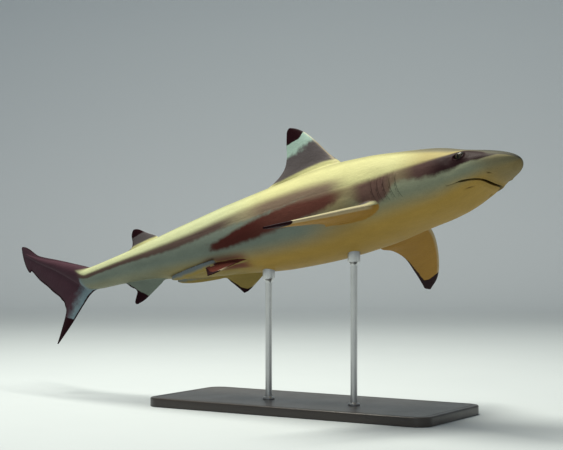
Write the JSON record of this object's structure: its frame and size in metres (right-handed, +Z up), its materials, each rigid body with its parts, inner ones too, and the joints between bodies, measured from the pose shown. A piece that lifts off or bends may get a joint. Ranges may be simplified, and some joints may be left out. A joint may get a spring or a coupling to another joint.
{
  "type": "blacktip reef shark display model",
  "caption": "Life-size adult blacktip reef shark, swimming with its belly turned to the viewer, held over a plain flat base by two upright rods.",
  "frame": {"origin": "middle of the base's underside, on the floor", "axes": "+Z up; +X to the right along the side the model is shown from, with the head at +X; +Y away from the viewer"},
  "size_m": [1.0223, 0.7801, 0.5538],
  "materials": {
    "skin": "satin, finely rough skin, brown above and white below with black fin tips",
    "eye": "wet gloss",
    "stand_base": "satin dark lacquer",
    "stand_rod": "brushed"
  },
  "bodies": {
    "root": {"head": "skin", "lower_jaw": "skin", "trunk_front": "skin", "trunk_rear": "skin", "tail_stalk": "skin", "caudal_fin_upper": "skin", "caudal_fin_lower": "skin", "dorsal_fin_first": "skin", "dorsal_fin_second": "skin", "anal_fin": "skin", "pectoral_fin_left": "skin", "pectoral_fin_right": "skin", "pelvic_fin_left": "skin", "pelvic_fin_right": "skin", "clasper_left": "skin", "clasper_right": "skin", "eye_left": "eye", "eye_right": "eye", "stand_base": "stand_base", "stand_rod_front": "stand_rod", "stand_rod_rear": "stand_rod"}
  },
  "joints": []
}
